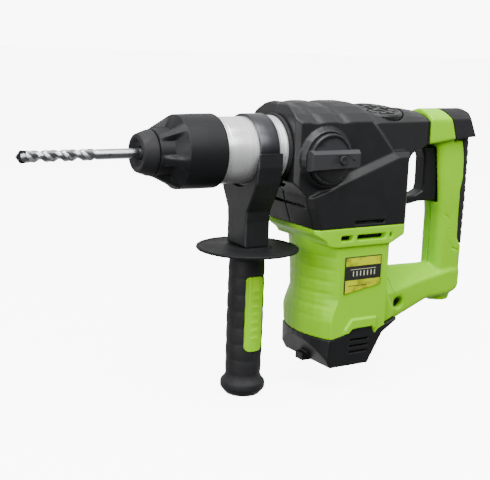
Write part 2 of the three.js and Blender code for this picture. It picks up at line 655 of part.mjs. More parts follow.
const coverSolid = (clear) => joined(coverMain(clear), coverBulge(clear), coverArm(clear));

function makeCover() {
  let shell = coverSolid(0);
  const seat = rod('z', 26, -5, -0.5, 28).rotate([THREE.MathUtils.radToDeg(-CAP_TILT), 0, 0]).translate(CAP_AT);
  const boss = turned('y', [[22.8, 34], [26.9, 34], [26.9, 38], [24.2, 42.5], [22.8, 42.5]], 28);
  shell = joined(shell, seat).subtract(coverSolid(WALL));
  shell = shell.add(boss.translate([KNOB[0], 0, KNOB[1]]));
  shell = shell.subtract(rod('x', 30.6, 55, 75, 30).translate([0, 0, TOOL_Z]));
  shell = shell.subtract(rod('x', 33.4, 43, NOSE_X - WALL, 24).translate([0, 0, TOOL_Z]));
  const capHole = joined(rod('z', 20, -16, 4, 24), rod('z', 25.4, -GAP, 9, 28));
  shell = shell.subtract(capHole.rotate([THREE.MathUtils.radToDeg(-CAP_TILT), 0, 0]).translate(CAP_AT));
  shell = shell.subtract(rod('y', 8.8, 30, 45, 24).translate([KNOB[0], 0, KNOB[1]]));
  for (const wall of [[34, 45], [-45, -34]]) {
    shell = shell.subtract(block([-28, 6], wall, [133.2, 136]));
  }
  shell = shell.subtract(block([47, 60], [-31, 31], [149.4, 152]));
  place(group, 'gear_cover_left', shell.intersect(block([-110, 80], [GAP / 2, 60], [100, 260])), 'black');
  place(group, 'gear_cover_right', shell.intersect(block([-110, 80], [-60, -GAP / 2], [100, 260])), 'black');
}

function makeGreaseCap() {
  let cap = turned('z', [
    [0, -5], [15.5, -5], [15.5, -3.4], [16, -3], [16, 0], [24.5, 0],
    [24.5, 3.6], [23, 5.4], [19.5, 5.8], [18.5, 4.6], [0, 4.9],
  ], 28);
  for (const turn of [0, 90]) {
    cap = cap.add(block([-14, 14], [-2.2, 2.2], [4.5, 6]).rotate([0, 0, turn]));
  }
  place(greaseCap, 'grease_cap', cap, 'black');
  place(greaseCap, 'grease_cap_seal', ring('z', 16.4, 19.4, -2.8, -GAP, 32), 'soft');
}

function makeKnob() {
  const [x, z] = KNOB;
  const disc = turned('y', [
    [0, 34.2], [8.4, 34.2], [8.4, 40.4], [22.4, 40.4], [22.4, 45.5], [21, 46.6], [0, 46.6],
  ], 28);
  const foot = [[-27.5, -7.4], [24.5, -9.2], [24.5, 8.2], [-27.5, 8.2]];
  const face = [[-26.5, -6.6], [23, -7.8], [23, 5.4], [-26.5, 5.2]];
  const wing = lofted([atY(43, foot), atY(48.5, foot), atY(52, face)]);
  let knob = joined(disc, wing);
  const pocket = rod('y', 4.3, 44, 60, 16).translate([-8, 0, 0]);
  knob = knob.subtract(pocket);
  place(group, 'mode_knob', knob.translate([x, 0, z]), 'black');
  const button = turned('y', [[0, 46.4], [3.9, 46.4], [3.9, 53], [3.4, 53.8], [0, 53.8]], 20);
  place(group, 'knob_lock_button', button.translate([x - 8, 0, z]), 'soft');
}

// ---- side handle --------------------------------------------------------------------------
function makeSideHandle() {
  const strap = joined(
    ring('x', 29, 31.2, -9.5, 9.5, 30).translate([0, 0, TOOL_Z]),
    block([-7, 7], [-3, 3], [159, 168.2]),
  );
  place(sideHandle, 'clamp_strap', strap, 'dark_steel');

  const saddle = [
    [-33, TOOL_Z], [-33.5, 186], [-31, 172], [-24, 158], [-17, 146], [-16, 136], [-16, 114.4], [16, 114.4],
    [16, 136], [17, 146], [24, 158], [31, 172], [33.5, 186], [33, TOOL_Z],
  ];
  let bracket = prism('x', saddle, -12.5, 12.5, { bevel: 1.5, segments: 1 });
  bracket = bracket.subtract(rod('x', 31.7, -20, 20, 30).translate([0, 0, TOOL_Z]));
  bracket = bracket.subtract(block([-7.4, 7.4], [-3.4, 3.4], [150, 175]));
  bracket = bracket.subtract(rod('z', 4.4, 100, 160, 20));
  place(sideHandle, 'handle_bracket', bracket, 'black');

  place(sideHandle, 'hand_guard', turned('z', [
    [4.4, GUARD_Z - 2], [40, GUARD_Z - 2.4], [GUARD_RADIUS, GUARD_Z - 1.6], [GUARD_RADIUS, GUARD_Z + 0.4],
    [41, GUARD_Z + 0.9], [18, GUARD_Z + 1], [17, GUARD_Z + 2.1], [4.4, GUARD_Z + 2.1],
  ], 32), 'black');
  place(sideHandle, 'clamp_bolt', rod('z', 4, 21, 156, 20), 'steel');

  const profile = [
    [0, GRIP_END_Z], [15.6, GRIP_END_Z], [16.4, -20], [18, -18.4], [20.3, -16], [20.3, -10.5], [17.4, -7],
  ];
  const ribs = 6;
  const samples = ribs * 3;
  const [ribFrom, ribTo] = [-4, 101];
  for (let i = 0; i <= samples; i += 1) {
    const along = i / samples;
    const wave = 0.7 * Math.cos(along * ribs * 2 * Math.PI);
    profile.push([15.9 - wave, ribFrom + (ribTo - ribFrom) * along]);
  }
  profile.push([17.2, 104], [18.2, 107], [18.2, 109.2], [4.4, 109.2], [4.4, 20], [0, 20]);
  const grip = turned('z', profile, 18);
  const window = (clear) => common(
    ring('z', 15.3 - clear, 17.4 + 4 * clear, 20.5 - clear, 88 + clear, 24),
    block([-8.5 - clear, 8.5 + clear], [5, 30], [20.5 - clear, 88 + clear]),
  );
  place(sideHandle, 'side_grip', grip.subtract(window(GAP)), 'soft');
  place(sideHandle, 'grip_inlay', window(0), 'green');
}

// ---- rear handle --------------------------------------------------------------------------
// Side view of the soft pad's edge over the back of the handle.
const padOutline = [
  [-180, 240], [-180, 99], [-149, 99], [-144.7, 105], [-143.4, 153], [-146, 165], [-145, 185], [-141.7, 202],
  [-128.5, 203], [-122, 223.2], [-117, 232], [-116, 240],
];
// The upright grip, from the bottom up: [z, front, rear, half width].
const gripStations = [
  [50, -120, -149.5, 13.5], [61, -119.5, -152.6, 14.5], [100, -119, -153.5, 14.5], [130, -119, -154, 14.6],
  [143, -117.5, -154, 15], [190, -111.6, -153.5, 15], [212, -108, -152, 15],
];

function roundedPlan(front, rear, half, radius) {
  const [x0, x1, y] = [rear + radius, front - radius, half - radius];
  return [
    ...arc([x1, y], radius, 0, 90, 3), ...arc([x0, y], radius, 90, 180, 3),
    ...arc([x0, -y], radius, 180, 270, 3), ...arc([x1, -y], radius, 270, 360, 3),
  ];
}

function handleHead(depth) {
  const half = HEAD_HALF - depth;
  const plan = (rear) => [
    [-86, -half], [-86, half], [rear + 4.5, half], [rear, half - 7], [rear, 7 - half], [rear + 4.5, -half],
  ];
  const side = [
    [-180, 205.5], [-149, 205.5], [-129, 203.5], [-93, 199.2], [-80, 198.8], [-80, 250], [-180, 250],
  ];
  return common(
    lofted([atZ(195, plan(depth - 161.9)), atZ(240, plan(depth - 142.1))]),
    prism('y', inset(side, depth), -30, 30),
    prism('x', roofSection(half, 223.2 - depth, 232.2 - depth, 150), -180, -80),
  );
}

// The whole rear handle, or the same shape with its surface moved in by `depth`.
function handleSolid(depth) {
  const corner = Math.max(8 - depth, 1.2);
  const grip = lofted(gripStations.map(([z, front, rear, half], i) => (
    atZ(i === 0 ? z + depth : z, roundedPlan(front - depth, rear + depth, half - depth, corner))
  )));
  const foot = turned('z', [
    [0, 41.5 + depth], [12 - depth, 41.5 + depth], [14.2 - depth, 52 + depth], [0, 60],
  ]).translate([GLAND_X, 0, 0]);
  return joined(grip, foot, barSolid(depth), handleHead(depth));
}

function makeRearHandle() {
  const whole = handleSolid(0);
  const skin = 3.2;
  const pad = common(whole, prism('y', padOutline, -30, 30)).subtract(handleSolid(skin));
  place(group, 'rear_grip_pad', pad, 'soft');

  const wall = 6.6;
  const padSpace = prism('y', inset(padOutline, -GAP), -30, 30).subtract(handleSolid(skin + GAP));
  const screwBoss = rod('y', 8.5, -21, 21, 20).translate(SCREW_AT);
  let shell = joined(whole.subtract(handleSolid(wall)), common(screwBoss, whole)).subtract(padSpace);
  shell = shell.subtract(block([ARM_X - GAP, 0], [-30, 30], [150, 260]));
  shell = shell.subtract(block([TAIL_X - GAP, 0], [-30, 30], [0, 120]));
  shell = shell.subtract(block([-127, -90], [-8.3, 8.3], [141, 196.6]));
  shell = shell.subtract(rod('z', 9.4, 0, 58, 28).translate([GLAND_X, 0, 0]));
  shell = shell.subtract(rod('y', 5.6, 13, 40, 20).translate(SCREW_AT));
  shell = shell.subtract(rod('y', 2.6, -12, 40, 16).translate(SCREW_AT));
  place(group, 'rear_handle_left', shell.intersect(block([-200, 0], [GAP / 2, 40], [0, 260])), 'green');
  place(group, 'rear_handle_right', shell.intersect(block([-200, 0], [-40, -GAP / 2], [0, 260])), 'green');

  const screw = joined(rod('y', 4.6, 13.4, 17, 20), rod('y', 2.2, -10, 13.5, 12));
  place(group, 'housing_screw', screw.translate(SCREW_AT), 'dark_steel');
  place(group, 'switch_module', block([-146, -127.5], [-7.7, 7.7], [150, 186]), 'black');
  place(group, 'cord_gland', ring('z', 4.5, 9, 41.8, 56, 28).translate([GLAND_X, 0, 0]), 'soft');

  const paddle = [
    [-112.5, 195.8], [-118, 186], [-118, 150], [-117.5, 143.4], [-95.7, 143.4], [-84.7, 141.3], [-57, 141.5],
    [-57, 149], [-90, 149.5], [-99.5, 154], [-101, 160], [-100.5, 185], [-98, 192], [-93, 195.8],
  ];
  place(group, 'trigger', prism('y', paddle, -7.8, 7.8, { bevel: 1.4, segments: 1 }), 'black');
}

makeBit();
makeChuck();
makeSpindle();
makeBarrel();
makePistonTrain();
makeGears();
makeGearCase();
makeArmature();
makeStator();
makeMotorHousing();
makeEndCap();
makeCover();
makeGreaseCap();
makeKnob();
makeSideHandle();
makeRearHandle();

export default group;
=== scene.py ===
"""Rotary hammer: smooth moulded shells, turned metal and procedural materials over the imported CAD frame."""
import json
import math

import bmesh
import bpy
import numpy as np
from mathutils import Matrix, Vector


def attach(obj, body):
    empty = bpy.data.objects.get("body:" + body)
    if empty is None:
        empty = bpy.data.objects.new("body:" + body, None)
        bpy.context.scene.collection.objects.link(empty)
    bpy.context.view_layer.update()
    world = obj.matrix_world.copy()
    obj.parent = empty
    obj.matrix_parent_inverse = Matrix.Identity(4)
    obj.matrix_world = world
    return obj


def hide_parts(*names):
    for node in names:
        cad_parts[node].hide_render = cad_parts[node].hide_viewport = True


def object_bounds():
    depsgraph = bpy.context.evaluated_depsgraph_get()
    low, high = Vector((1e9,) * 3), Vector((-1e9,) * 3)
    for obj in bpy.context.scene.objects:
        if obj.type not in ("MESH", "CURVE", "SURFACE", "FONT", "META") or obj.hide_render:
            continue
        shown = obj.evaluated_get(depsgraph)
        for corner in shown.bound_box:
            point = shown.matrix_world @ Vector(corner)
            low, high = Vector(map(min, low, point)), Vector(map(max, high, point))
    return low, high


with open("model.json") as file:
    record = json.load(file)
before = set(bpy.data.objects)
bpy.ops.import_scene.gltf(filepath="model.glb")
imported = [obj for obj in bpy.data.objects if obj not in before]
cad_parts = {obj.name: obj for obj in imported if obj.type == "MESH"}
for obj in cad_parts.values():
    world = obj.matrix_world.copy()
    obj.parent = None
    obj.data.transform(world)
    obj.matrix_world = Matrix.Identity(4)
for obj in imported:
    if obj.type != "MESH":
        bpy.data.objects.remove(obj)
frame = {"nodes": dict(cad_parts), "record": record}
CAD_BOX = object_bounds()

# ---- driving dimensions, in millimetres ------------------------------------------------------
MM = 0.001
TOOL_Z = 198.0            # height of the bit's axis
SIDE_X = 92.0             # axis of the side handle
GUARD_Z = 112.0           # middle plane of the hand guard
GUARD_RADIUS = 45.5
GRIP_END_Z = -22.0        # lower end of the side handle
GRIP_TOP_Z = 109.2
INLAY_Z = (20.5, 88.0)    # lower and upper end of the side grip's inlay
INLAY_WIDTH = 17.0
KNOB_X, KNOB_Z = 39.0, 193.0
BUTTON_X = KNOB_X - 8
CAP_AT = Vector((-40.0, 3.0, 226.8))
CAP_TILT = math.radians(9)
SCREW_RADIUS = 3.3
REAR_SCREW_X, REAR_SCREW_Z = -67.0, 49.0

FLOOR_GLOW = 7.5          # the floor paper's own light, which keeps it pale
FLOOR_HALF = 12.0         # half the floor's width, in metres
WORLD_SEEN = 9.0          # the backdrop's brightness to the eye
WORLD_GLOW = (0.12, 1.3)  # the surroundings' light, viewer's side and far side
TOP_POWER, SIDE_POWER, FRONT_POWER = 32, 14, 19

SHELL_VOXEL = 0.75        # how finely the moulded shells are rebuilt
FINE_VOXEL = 0.5          # the same for the trigger and the side handle's bracket
EASED_ROUNDS = 40         # how far the rear handle's edges are rounded


# ---- meshes ------------------------------------------------------------------------------------
def build(name, points, faces):
    """A linked mesh object from points in millimetres."""
    mesh = bpy.data.meshes.new(name)
    mesh.from_pydata([tuple(c * MM for c in p) for p in points], [], faces)
    obj = bpy.data.objects.new(name, mesh)
    bpy.context.collection.objects.link(obj)
    tidy_mesh(obj)
    return obj


def tidy_mesh(obj):
    """Normals point out and stray doubles go."""
    bm = bmesh.new()
    bm.from_mesh(obj.data)
    bmesh.ops.remove_doubles(bm, verts=bm.verts, dist=1e-7)
    bmesh.ops.recalc_face_normals(bm, faces=bm.faces)
    bm.to_mesh(obj.data)
    bm.free()


def smooth(obj, angle=32):
    obj.data.shade_smooth()
    obj.data.set_sharp_from_angle(angle=math.radians(angle))
    return obj


def apply_modifiers(obj):
    graph = bpy.context.evaluated_depsgraph_get()
    mesh = bpy.data.meshes.new_from_object(obj.evaluated_get(graph))
    obj.modifiers.clear()
    old, obj.data = obj.data, mesh
    bpy.data.meshes.remove(old)
    return obj


def combine(obj, others, operation):
    """obj joined with, or cut by, closed solids, which are used up."""
    for other in others:
        modifier = obj.modifiers.new(operation.title(), "BOOLEAN")
        modifier.operation = operation
        modifier.solver = "MANIFOLD"
        modifier.object = other
        apply_modifiers(obj)
        bpy.data.objects.remove(other)
    return obj


def cut(obj, *others):
    return combine(obj, others, "DIFFERENCE")


def add(obj, *others):
    return combine(obj, others, "UNION")


def common(obj, *others):
    return combine(obj, others, "INTERSECT")


def bevel(obj, width, segments=3, angle=30):
    """Rounds the sharp edges, so that they catch the light as moulded or machined edges do."""
    modifier = obj.modifiers.new("Bevel", "BEVEL")
    modifier.width = width * MM
    modifier.segments = segments
    modifier.limit_method = "ANGLE"
    modifier.angle_limit = math.radians(angle)
    return smooth(obj)


def fillet(profile, radius, steps=4):
    """The profile with every corner that has room rounded to about that radius."""
    points = [Vector(p) for p in profile]
    out = [points[0]]
    for before, corner, after in zip(points, points[1:], points[2:]):
        arm = min(radius, (before - corner).length / 2.2, (after - corner).length / 2.2)
        start = corner + (before - corner).normalized() * arm
        end = corner + (after - corner).normalized() * arm
        for i in range(steps + 1):
            t = i / steps
            out.append(start * (1 - t) ** 2 + corner * 2 * t * (1 - t) + end * t ** 2)
    out.append(points[-1])
    return out


def spaced(profile, step):
    """The profile with no stretch longer than step."""
    out = [Vector(profile[0])]
    for a, b in zip(profile, profile[1:]):
        a, b = Vector(a), Vector(b)
        count = max(1, math.ceil((b - a).length / step))
        out += [a.lerp(b, (i + 1) / count) for i in range(count)]
    return out


def revolve(name, axis, profile, centre=(0, 0, 0), segments=96, warp=None):
    """A profile of (place along the axis, radius) turned round it.

    A profile that starts and ends on the axis is closed there, and any other is closed on itself.
    warp(along, radius, angle) may move a point.
    """
    solid = profile[0][1] == 0 and profile[-1][1] == 0
    rows = profile[1:-1] if solid else profile
    points, faces = [], []
    place = {
        "x": lambda s, u, v: (centre[0] + s, centre[1] + u, centre[2] + v),
        "y": lambda s, u, v: (centre[0] + v, centre[1] + s, centre[2] + u),
        "z": lambda s, u, v: (centre[0] + u, centre[1] + v, centre[2] + s),
    }[axis]
    for s, r in rows:
        for k in range(segments):
            angle = 2 * math.pi * k / segments
            at, radius = (s, r) if warp is None else warp(s, r, angle)
            points.append(place(at, radius * math.cos(angle), radius * math.sin(angle)))
    count = len(rows)
    for i in range(count if not solid else count - 1):
        j = (i + 1) % count
        for k in range(segments):
            m = (k + 1) % segments
            faces.append((i * segments + k, i * segments + m, j * segments + m, j * segments + k))
    if solid:
        for row, end in ((0, profile[0][0]), (count - 1, profile[-1][0])):
            first, pole = row * segments, len(points)
            points.append(place(end, 0, 0))
            faces += [(first + k, first + (k + 1) % segments, pole) for k in range(segments)]
    return build(name, points, faces)


def block(x, y, z, name="block"):
    corners = [(a, b, c) for a in x for b in y for c in z]
    faces = [(0, 1, 3, 2), (4, 6, 7, 5), (0, 4, 5, 1), (2, 3, 7, 6), (0, 2, 6, 4), (1, 5, 7, 3)]
    return build(name, corners, faces)


def prism(axis, outline, low, high, name="prism"):
    """An outline pushed along an axis. Outlines are (x, z) for y, (y, z) for x and (x, y) for z."""
    place = {
        "x": lambda u, v, s: (s, u, v),
        "y": lambda u, v, s: (u, s, v),
        "z": lambda u, v, s: (u, v, s),
    }[axis]
    n = len(outline)
    points = [place(u, v, s) for s in (low, high) for u, v in outline]
    faces = [tuple(range(n)), tuple(range(2 * n - 1, n - 1, -1))]
    faces += [(i, (i + 1) % n, n + (i + 1) % n, n + i) for i in range(n)]
    return build(name, points, faces)


def rounded_box(width, height, radius, steps=6):
    """The outline of a rectangle with round corners, centred on the origin."""
    outline = []
    for k, (sx, sy) in enumerate(((1, 1), (-1, 1), (-1, -1), (1, -1))):
        for i in range(steps + 1):
            a = math.pi / 2 * (k + i / steps)
            outline.append((
                sx * (width / 2 - radius) + radius * math.cos(a),
                sy * (height / 2 - radius) + radius * math.sin(a),
            ))
    return outline


def moved(outline, du, dv):
    return [(u + du, v + dv) for u, v in outline]


def rod(axis, radius, low, high, centre, segments=32):
    return revolve("rod", axis, [(low, 0), (low, radius), (high, radius), (high, 0)], centre, segments)


def transform(obj, matrix):
    obj.data.transform(matrix)
    return obj


def turned_at(place, degrees):
    """A turn round the y axis, and then a move to a place."""
    return Matrix.Translation(Vector(place) * MM) @ Matrix.Rotation(math.radians(degrees), 4, "Y")


def copy_of(node, name):
    source = frame["nodes"][node]
    obj = bpy.data.objects.new(name, source.data.copy())
    bpy.context.collection.objects.link(obj)
    obj.data.materials.clear()
    return obj


def mesh_points(mesh):
    """The mesh's points in millimetres, one row each."""
    points = np.empty(len(mesh.vertices) * 3)
    mesh.vertices.foreach_get("co", points)
    return points.reshape(-1, 3) / MM


def rebuilt(obj, voxel, rounds, where=None):
    """The solid as an even mesh, its edges eased by rounds of smoothing, as far as where(points) says."""
    remesh = obj.modifiers.new("Remesh", "REMESH")
    remesh.mode = "VOXEL"
    remesh.voxel_size = voxel * MM
    apply_modifiers(obj)
    soften = obj.modifiers.new("Soften", "SMOOTH")
    soften.factor = 0.5
    soften.iterations = rounds
    if where is not None:
        group = obj.vertex_groups.new(name="eased")
        for index, weight in enumerate(where(mesh_points(obj.data))):
            if weight > 0:
                group.add([index], float(weight), "REPLACE")
        soften.vertex_group = "eased"
    apply_modifiers(obj)
    obj.vertex_groups.clear()
    return obj


def moulded(obj, voxel, rounds=3, shape=None, faces=60000):
    """The solid as an even mesh with soft edges. shape(points, normals) may move its surface."""
    rebuilt(obj, voxel, rounds)
    if shape is not None:
        mesh = obj.data
        points = mesh_points(mesh)
        normals = np.empty(len(mesh.vertices) * 3)
        mesh.vertex_normals.foreach_get("vector", normals)
        moved_points = shape(points, normals.reshape(-1, 3)) * MM
        mesh.vertices.foreach_set("co", moved_points.ravel())
        mesh.update()
    count = len(obj.data.polygons) * 2
    if count > faces:
        decimate = obj.modifiers.new("Decimate", "DECIMATE")
        decimate.ratio = faces / count
        apply_modifiers(obj)
    return smooth(obj, 40)


def finish_piece(obj, body, material, *nodes, look=None):
    """Gives a piece its body, its finish and the CAD nodes that it stands for."""
    obj.data.materials.clear()
    obj.data.materials.append(MATERIALS[look or material])
    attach(obj, body)
    if nodes:
        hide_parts(*nodes)
    return obj


# ---- materials ---------------------------------------------------------------------------------
RANGE_SOCKETS = ("From Min", "From Max", "To Min", "To Max")


class Nodes:
    """A material's node tree with its shader, and short ways to add to it."""

    def __init__(self, name, colour, roughness, metallic=0.0, specular=0.5):
        self.material = bpy.data.materials.new(name)
        self.material.use_nodes = True
        self.tree = self.material.node_tree
        self.shader = self.tree.nodes["Principled BSDF"]
        self.shader.inputs["Base Color"].default_value = (*colour, 1)
        self.shader.inputs["Roughness"].default_value = roughness
        self.shader.inputs["Metallic"].default_value = metallic
        self.shader.inputs["Specular IOR Level"].default_value = specular
        self.material.diffuse_color = (*colour, 1)
        self.bump = None
        self.place = self.node("ShaderNodeTexCoord").outputs["Object"]

    def node(self, kind, **values):
        made = self.tree.nodes.new(kind)
        for key, value in values.items():
            setattr(made, key, value)
        return made

    def link(self, source, target):
        self.tree.links.new(source, target)

    def stretched(self, scale):
        mapping = self.node("ShaderNodeMapping")
        mapping.inputs["Scale"].default_value = scale
        self.link(self.place, mapping.inputs["Vector"])
        return mapping.outputs["Vector"]

    def noise(self, scale, detail=3.0, roughness=0.55, stretch=(1, 1, 1)):
        noise = self.node("ShaderNodeTexNoise")
        noise.inputs["Scale"].default_value = scale
        noise.inputs["Detail"].default_value = detail
        noise.inputs["Roughness"].default_value = roughness
        self.link(self.stretched(stretch), noise.inputs["Vector"])
        return noise.outputs["Fac"]

    def between(self, value, low, high, to_low, to_high):
        ranged = self.node("ShaderNodeMapRange")
        for name, number in zip(RANGE_SOCKETS, (low, high, to_low, to_high)):
            ranged.inputs[name].default_value = number
        self.link(value, ranged.inputs["Value"])
        return ranged.outputs["Result"]

    def mixed(self, factor, first, second):
        """A colour between two, each a colour or a socket."""
        mix = self.node("ShaderNodeMix", data_type="RGBA")
        self.link(factor, mix.inputs["Factor"])
        for source, socket in ((first, mix.inputs["A"]), (second, mix.inputs["B"])):
            if isinstance(source, tuple):
                socket.default_value = (*source, 1)
            else:
                self.link(source, socket)
        return mix.outputs["Result"]

    def bumped(self, height, strength, depth):
        bump = self.node("ShaderNodeBump")
        bump.inputs["Strength"].default_value = strength
        bump.inputs["Distance"].default_value = depth * MM
        self.link(height, bump.inputs["Height"])
        if self.bump is not None:
            self.link(self.bump, bump.inputs["Normal"])
        self.bump = bump.outputs["Normal"]
        self.link(self.bump, self.shader.inputs["Normal"])

    def colour(self, socket):
        self.link(socket, self.shader.inputs["Base Color"])

    def roughness(self, socket):
        self.link(socket, self.shader.inputs["Roughness"])

    def edges(self, low, high):
        """1 on convex edges and 0 elsewhere."""
        geometry = self.node("ShaderNodeNewGeometry")
        return self.between(geometry.outputs["Pointiness"], low, high, 0, 1)


def shade_of(colour, factor):
    return tuple(min(1.0, c * factor) for c in colour)


def plastic(name, colour, roughness, worn, grain=0.05, specular=0.5):
    """Moulded plastic: spark-eroded grain, slow colour drift, and edges rubbed paler."""
    n = Nodes(name, colour, roughness, specular=specular)
    cloud = n.noise(22, 4)
    base = n.mixed(n.between(cloud, 0.3, 0.7, 0, 1), shade_of(colour, 0.93), shade_of(colour, 1.05))
    fleck = n.between(n.noise(1400, 2), 0.35, 0.65, 0, 1)
    base = n.mixed(n.between(fleck, 0, 1, 0, 0.35), base, shade_of(colour, 0.86))
    n.colour(n.mixed(n.edges(0.52, 0.62), base, worn))
    n.roughness(n.between(n.noise(60, 5, 0.65), 0.3, 0.7, roughness - 0.05, roughness + 0.07))
    n.bumped(n.noise(1700, 2, 0.6), 0.35, grain)
    return n.material


def rubber(name, colour):
    """Soft overmould: coarse matte grain, dust in the hollows, and convex edges painted paler, both as rub
    wear and as a painted sheen where hands rub.
    """
    n = Nodes(name, colour, 0.62, specular=0.35)
    dust = n.between(n.noise(35, 6, 0.7), 0.45, 0.75, 0, 1)
    base = n.mixed(dust, colour, shade_of(colour, 1.8))
    # Convex edges painted paler: rub wear, and a painted sheen.
    n.colour(n.mixed(n.edges(0.52, 0.64), base, shade_of(colour, 2.6)))
    n.roughness(n.between(n.noise(90, 4), 0.3, 0.7, 0.54, 0.74))
    n.bumped(n.noise(1100, 3, 0.7), 0.5, 0.09)
    return n.material


def turned_metal(name, colour, roughness, axis="X", streak=0.12, metallic=1.0, grain=0.03):
    """Metal with fine turning marks round an axis, faint smudges and brighter edges."""
    n = Nodes(name, colour, roughness, metallic=metallic)
    along = {"X": (900, 6, 6), "Z": (6, 6, 900)}[axis]
    marks = n.noise(1.0, 4, 0.7, along)
    spread = n.between(marks, 0.3, 0.7, 0, 1)
    base = n.mixed(spread, shade_of(colour, 1 - streak), shade_of(colour, 1 + streak))
    smudge = n.between(n.noise(28, 5, 0.6), 0.5, 0.8, 0, 0.5)
    base = n.mixed(smudge, base, shade_of(colour, 0.8))
    n.colour(n.mixed(n.edges(0.54, 0.66), base, shade_of(colour, 1.3)))
    n.roughness(n.between(n.noise(45, 4, 0.6), 0.3, 0.7, roughness - 0.06, roughness + 0.1))
    n.bumped(marks, 0.25, grain)
    return n.material


def rough_metal(name, colour, roughness, grain):
    """Cast or laminated metal: pitted skin with darker hollows."""
    n = Nodes(name, colour, roughness, metallic=1.0)
    pits = n.noise(500, 5, 0.7)
    n.colour(n.mixed(n.between(pits, 0.35, 0.65, 0, 1), shade_of(colour, 0.7), shade_of(colour, 1.1)))
    n.roughness(n.between(n.noise(120, 3), 0.3, 0.7, roughness - 0.1, roughness + 0.1))
    n.bumped(pits, 0.5, grain)
    return n.material


def printed_label(name):
    """Yellow film with a dark band and plain pale rules in place of any words."""
    yellow, band, pale = (0.60, 0.70, 0.0), (0.022, 0.024, 0.02), (0.75, 0.77, 0.55)
    n = Nodes(name, yellow, 0.32)
    split = n.node("ShaderNodeSeparateXYZ")
    n.link(n.place, split.inputs["Vector"])
    x, z = split.outputs["X"], split.outputs["Z"]

    def inside(socket, low, high):
        """1 where the socket lies between two places in millimetres."""
        above = n.node("ShaderNodeMath", operation="GREATER_THAN")
        below = n.node("ShaderNodeMath", operation="LESS_THAN")
        both = n.node("ShaderNodeMath", operation="MULTIPLY")
        above.inputs[1].default_value = low * MM
        below.inputs[1].default_value = high * MM
        n.link(socket, above.inputs[0])
        n.link(socket, below.inputs[0])
        n.link(above.outputs[0], both.inputs[0])
        n.link(below.outputs[0], both.inputs[1])
        return both.outputs[0]

    def both(first, second):
        product = n.node("ShaderNodeMath", operation="MULTIPLY")
        n.link(first, product.inputs[0])
        n.link(second, product.inputs[1])
        return product.outputs[0]

    # Darker olive patches scattered at random over the yellow, placed by noise.
    olive_mottling = n.mixed(n.between(n.noise(75, 5, 0.65), 0.46, 0.72, 0, 1), yellow, (0.10, 0.14, 0.01))
    base = n.mixed(inside(z, 82, 95), olive_mottling, band)
    base = n.mixed(both(inside(x, -22, 7), inside(z, 91.6, 92.0)), base, pale)
    for tick in range(7):
        base = n.mixed(both(inside(x, -21 + tick * 4, -20 + tick * 4), inside(z, 85.6, 90.2)), base, pale)
    base = n.mixed(both(inside(x, -12, 8.5), inside(z, 76.4, 77.1)), base, band)
    base = n.mixed(both(inside(x, -27.1, 12.1), inside(z, 60, 102.6)), band, base)
    n.colour(base)
    n.roughness(n.between(n.noise(80, 4), 0.3, 0.7, 0.26, 0.4))
    n.bumped(n.noise(900, 2), 0.15, 0.02)
    return n.material


GREEN = (0.30, 0.76, 0.0)
BLACK = (0.0085, 0.009, 0.010)
MATERIALS = {
    "green_plastic": plastic("green_plastic", GREEN, 0.42, (0.42, 0.86, 0.01), specular=0.25),
    "black_plastic": plastic("black_plastic", BLACK, 0.45, (0.03, 0.031, 0.034), specular=0.45),
    "matte_black": plastic("matte_black", BLACK, 0.62, (0.025, 0.026, 0.03), specular=0.2),
    "satin_black": plastic("satin_black", BLACK, 0.5, (0.025, 0.026, 0.028), specular=0.25),
    "soft_rubber": rubber("soft_rubber", (0.0115, 0.0115, 0.013)),
    "bright_aluminium": turned_metal(
        "bright_aluminium", (0.86, 0.87, 0.88), 0.33, streak=0.18, metallic=0.6, grain=0.015,
    ),
    "tool_steel": turned_metal("tool_steel", (0.46, 0.47, 0.49), 0.30, streak=0.15),
    "dark_steel": turned_metal("dark_steel", (0.085, 0.087, 0.095), 0.36, streak=0.15),
    "cast_aluminium": rough_metal("cast_aluminium", (0.52, 0.53, 0.54), 0.5, 0.15),
    "copper": turned_metal("copper", (0.70, 0.34, 0.17), 0.3, "Z"),
    "motor_core": rough_metal("motor_core", (0.15, 0.16, 0.17), 0.5, 0.1),
    "carbon": rubber("carbon", (0.024, 0.024, 0.026)),
    "label": printed_label("label"),
}


# ---- bit and chuck -----------------------------------------------------------------------------
AXIS = (0, 0, TOOL_Z)


def make_bit():
    shank = fillet([(156, 0), (156, 4.2), (157, 5), (198, 5), (201, 4.2), (236, 4.2), (239, 3.4)], 0.6)
    flute_from, flute_to, turns = 236.0, 295.0, 1.9
    first, last, step = 239.5, 297.0, 0.55
    rows = []
    at = first
    while at < last:
        rows.append((at, 4.75))
        at += step

    def fluted(at, radius, angle):
        """Two round-backed grooves with a narrow land beside each, deeper after the run-out."""
        if not first <= at < last:
            return at, radius
        depth = min(1.0, (at - flute_from) / 7) * min(1.0, (299 - at) / 4)
        twist = turns * 2 * math.pi * (at - flute_from) / (flute_to - flute_from)
        swing = math.cos(2 * (angle - twist))
        groove = max(0.0, (0.32 - swing) / 1.32) ** 0.7
        return at, radius - 2.35 * depth * groove - (0.25 if swing > 0.62 else 0)

    profile = [*shank, *rows, (299.5, 2.6), (299.5, 0)]
    bit = revolve("bit_body", "x", profile, AXIS, 64, fluted)
    finish_piece(smooth(bit, 38), "bit", "tool_steel", "drill_bit")

    roof = [(294.8, -4.7), (299.3, -5.15), (303, 0), (299.3, 5.15), (294.8, 4.7)]
    tip = prism("y", [(x, TOOL_Z + z) for x, z in roof], -1.05, 1.05, "bit_tip")
    finish_piece(bevel(tip, 0.25, 2), "bit", "dark_steel", "carbide_tip")


